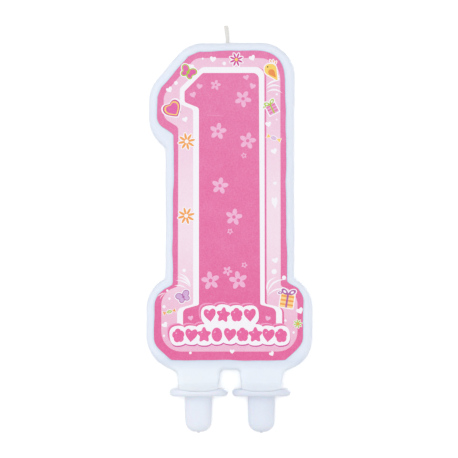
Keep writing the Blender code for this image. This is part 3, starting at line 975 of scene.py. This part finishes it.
def lay_banner():
    """Shadow, echo line, white backing and then the shapes themselves with a small highlight in each."""
    middle = rounded([(-8.6, 29.3, 1.5), (-8.6, 21.0, 1.0), (8.6, 21.0, 1.0), (8.6, 29.3, 1.5)], 6)[0]
    lower = rounded([(-18.8, 22.2, 1.6), (-18.8, 18.4, 1.6), (18.6, 18.4, 1.6), (18.6, 22.2, 1.6)], 6)[0]
    backing = [placed(puff(outline), x, z, tilt) for outline, x, z, tilt in banner_shapes()]
    for ink, shift in (("hot_pale", (-0.75, 0.85)), ("hot_pink", (-0.4, 0.45)), ("magenta", (0.1, -0.42))):
        for outline in backing:
            lay(ink, outline + shift)
    for outline in backing + [middle, lower]:
        lay("white", outline)
    for outline, x, z, tilt in banner_shapes():
        lay("banner_pink", outline, x, z, tilt)
        lay("petal_pink", oval(0.34, 0.2, 10), x - 0.7, z + 0.85, 35)


lay_bands()
lay_column_motifs()
lay_grass()
lay_white_specks()
lay_motifs()
lay_print_flaws()
lay_banner()

FILM_SHEEN = 0.047  # what the film's gloss adds to every ink under even light


def ink_tone(colour):
    """The pigment under the gloss: the colour as it is seen, less the film's sheen."""
    pigment = [max((part - FILM_SHEEN) / (1 - FILM_SHEEN), 0.004) for part in linear(*colour)[:3]]
    return (*pigment, 1.0)


def ink_finish(name, tones, grain):
    """Satin ink on film, with its tones at the candle's top, middle and bottom; one tone does for all."""
    upper, middle, lower = tones if len(tones) == 3 else tones * 3
    values = {"Upper Ink": ink_tone(upper), "Middle Ink": ink_tone(middle), "Lower Ink": ink_tone(lower)}
    values.update(Grain=grain, Gloss=0.34)
    return finish_material("ink_" + name, film_print, values,
                           bump_strength=0.05, bump_distance=0.0004, IOR=1.45)


INK_TONES = {
    # upper, middle and lower tone, where they differ
    "clear_edge": [(196, 226, 240)],
    "hot_pink": [(230, 131, 177), (230, 124, 172), (229, 114, 164)],
    "hot_pale": [(238, 160, 200)],
    "pale_pink": [(238, 198, 220), (242, 221, 234), (237, 188, 213)],
    "white": [(243, 241, 246)],
    "petal_pink": [(238, 183, 214)],
    "banner_pink": [(232, 112, 166)],
    "magenta": [(212, 88, 160)],
    "magenta_light": [(226, 110, 175)],
    "orange": [(242, 166, 92)],
    "deep_orange": [(236, 150, 92)],
    "yellow": [(246, 211, 116)],
    "green": [(178, 204, 76)],
    "lilac": [(212, 176, 216)],
    "purple": [(182, 108, 172)],
    "gift_pink": [(232, 172, 212)],
    "cream": [(249, 214, 150)],
    "dark": [(70, 55, 60)],
}
INK_GRAIN = {"hot_pink": 0.09, "banner_pink": 0.08}
INKS = {ink: ink_finish(ink, tones, INK_GRAIN.get(ink, 0.05)) for ink, tones in INK_TONES.items()}


def ink_plates():
    """Cuts all the laid outlines against each other and makes one thin closed plate for each ink.

    The outlines go into one constrained triangulation. Each triangle takes the ink of the last outline that
    holds it. Each ink's triangles become a plate's front and back, walled wherever an edge has no neighbour.
    """
    sizes = [len(outline) for _, outline in laid]
    starts = np.concatenate([[0], np.cumsum(sizes)[:-1]])
    outlines = [list(range(start, start + size)) for start, size in zip(starts, sizes)]
    flat = [Vector(p) for p in np.vstack([outline for _, outline in laid]).tolist()]
    corners, _, triangles, _, _, owners = delaunay_2d_cdt(flat, [], outlines, 1, 1e-4)
    corners = np.array([tuple(corner) for corner in corners])
    triangles = np.array(triangles)
    film = 0  # the first outline laid, the whole film's
    top_ink = np.array([laid[max(held)][0] if film in held else "" for held in owners])
    for ink in INKS:
        chosen = triangles[top_ink == ink]
        if len(chosen):
            plate(ink, corners, chosen)


FILM_FRONT, FILM_BACK = -HALF_DEPTH - 0.07, -HALF_DEPTH + 0.1  # y of the plates' two faces


def plate(ink, corners, triangles):
    """A closed plate over flat triangles: their front, their back and a wall along every free edge."""
    edges = np.vstack([triangles[:, [0, 1]], triangles[:, [1, 2]], triangles[:, [2, 0]]])
    code, reverse = edges @ [len(corners), 1], edges @ [1, len(corners)]
    free = edges[~np.isin(reverse, code)]
    used, index = np.unique(triangles, return_inverse=True)
    index = index.reshape(triangles.shape)
    (x, z), count = corners[used].T, len(used)
    points = np.vstack([np.column_stack([x, np.full(count, y), z]) for y in (FILM_FRONT, FILM_BACK)])
    a, b = np.searchsorted(used, free[:, 0]), np.searchsorted(used, free[:, 1])
    faces = [*index, *(index[:, ::-1] + count), *np.column_stack([b, a, a + count, b + count])]
    piece = make_piece("film_" + ink, points, faces, INKS[ink], smooth=False)
    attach(piece, "candle")
    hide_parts("printed_label")


ink_plates()

# ---- Stage, light and camera

# Sizes in millimetres; the gap is between the card and the candle's back
CARD_TONE, CARD_HALF_WIDTH, CARD_TOP, CARD_GAP = 0.885, 90.0, 150.0, 0.3
FLOOR_TONE, FLOOR_REACH, FLOOR_LEVEL = 0.93, 3000.0, -32.0


def one_sided_white(name, shader, tone, **values):
    """White that shows only its face, and only to the camera, so it neither hides nor shades the candle."""
    made, tree, principled = new_material(name)
    tree.nodes.remove(principled)
    white = node(tree, shader, {"Color": (tone, tone, tone, 1.0), **values})
    clear = node(tree, "ShaderNodeBsdfTransparent")
    back = node(tree, "ShaderNodeNewGeometry").outputs["Backfacing"]
    seen = node(tree, "ShaderNodeLightPath").outputs["Is Camera Ray"]
    shown = maths(tree, "MULTIPLY", maths(tree, "SUBTRACT", 1.0, back), seen)
    mixed = node(tree, "ShaderNodeMixShader", {0: shown, 1: clear.outputs[0], 2: white.outputs[0]})
    tree.links.new(mixed.outputs[0], tree.nodes["Material Output"].inputs["Surface"])
    return made


card = slab(-CARD_HALF_WIDTH, FLOOR_LEVEL, CARD_HALF_WIDTH, CARD_TOP)
card_white = one_sided_white("card_white", "ShaderNodeBsdfAnisotropic", CARD_TONE, Roughness=0.37)
behind = np.insert(card, 1, cad_high.y / MM + CARD_GAP, axis=1)
sheet = make_piece("backdrop", behind, [range(4)], card_white, smooth=False)

ground = slab(-FLOOR_REACH, -FLOOR_REACH, FLOOR_REACH, FLOOR_REACH)
floor_white = one_sided_white("floor_white", "ShaderNodeBsdfDiffuse", FLOOR_TONE)
sheet = make_piece("floor", np.insert(ground, 2, FLOOR_LEVEL, axis=1), [range(4)], floor_white, smooth=False)

MIDDLE = Vector((0.0, 0.0, 0.056))  # the middle of the figure, where the lamps point


def area_light(name, place, size, power):
    """A round lamp, its size in metres and its power in watts, aimed at the figure and not itself seen."""
    data = bpy.data.lights.new(name, "AREA")
    data.shape = "DISK"
    data.size = size
    data.energy = power
    lamp = bpy.data.objects.new(name, data)
    lamp.location = place
    lamp.rotation_euler = (MIDDLE - Vector(place)).to_track_quat("-Z", "Y").to_euler()
    lamp.visible_camera = False
    bpy.context.scene.collection.objects.link(lamp)


area_light("front", (-0.02, -1.6, 0.08), 0.4, 0.8)
area_light("rear", (0.6, 1.8, 0.5), 0.8, 4.0)
area_light("softbox", (-1.9, -1.5, 0.8), 1.2, 6.0)

# The surround is brightest level with the candle: 0.932 - 0.26 z squared + 0.03 x - 0.09 y along each
# direction (x, y, z), and brighter still where the camera sees it straight
world = bpy.data.worlds.new("studio")
bpy.context.scene.world = world
world.use_nodes = True
sky = world.node_tree
sky.nodes["Background"].inputs["Color"].default_value = (0.995, 0.998, 1.0, 1.0)
toward = node(sky, "ShaderNodeSeparateXYZ", {0: node(sky, "ShaderNodeTexCoord").outputs["Generated"]}).outputs
upright = maths(sky, "POWER", toward["Z"], 2.0)
seen = node(sky, "ShaderNodeLightPath").outputs["Is Camera Ray"]
level = 0.932
for way, amount in ((upright, -0.26), (toward["X"], 0.03), (toward["Y"], -0.09), (seen, 1.05)):
    level = maths(sky, "MULTIPLY_ADD", way, amount, level)
sky.links.new(level, sky.nodes["Background"].inputs["Strength"])

FRAME_WIDTH = 0.15267  # metres across the view at the printed face
FRAME_CENTRE = (-0.00033, 0.0558)  # x and z in the middle of the view
LENS, SENSOR = 500.0, 36.0

camera_data = bpy.data.cameras.new("camera")
camera_data.lens = LENS
camera_data.sensor_width = SENSOR
camera = bpy.data.objects.new("camera", camera_data)
distance = FRAME_WIDTH * LENS / SENSOR + HALF_DEPTH * MM
camera.location = (FRAME_CENTRE[0], -distance, FRAME_CENTRE[1])
camera.rotation_euler = (math.pi / 2, 0.0, 0.0)
bpy.context.scene.collection.objects.link(camera)
bpy.context.scene.camera = camera
bpy.context.scene.view_settings.view_transform = "Standard"
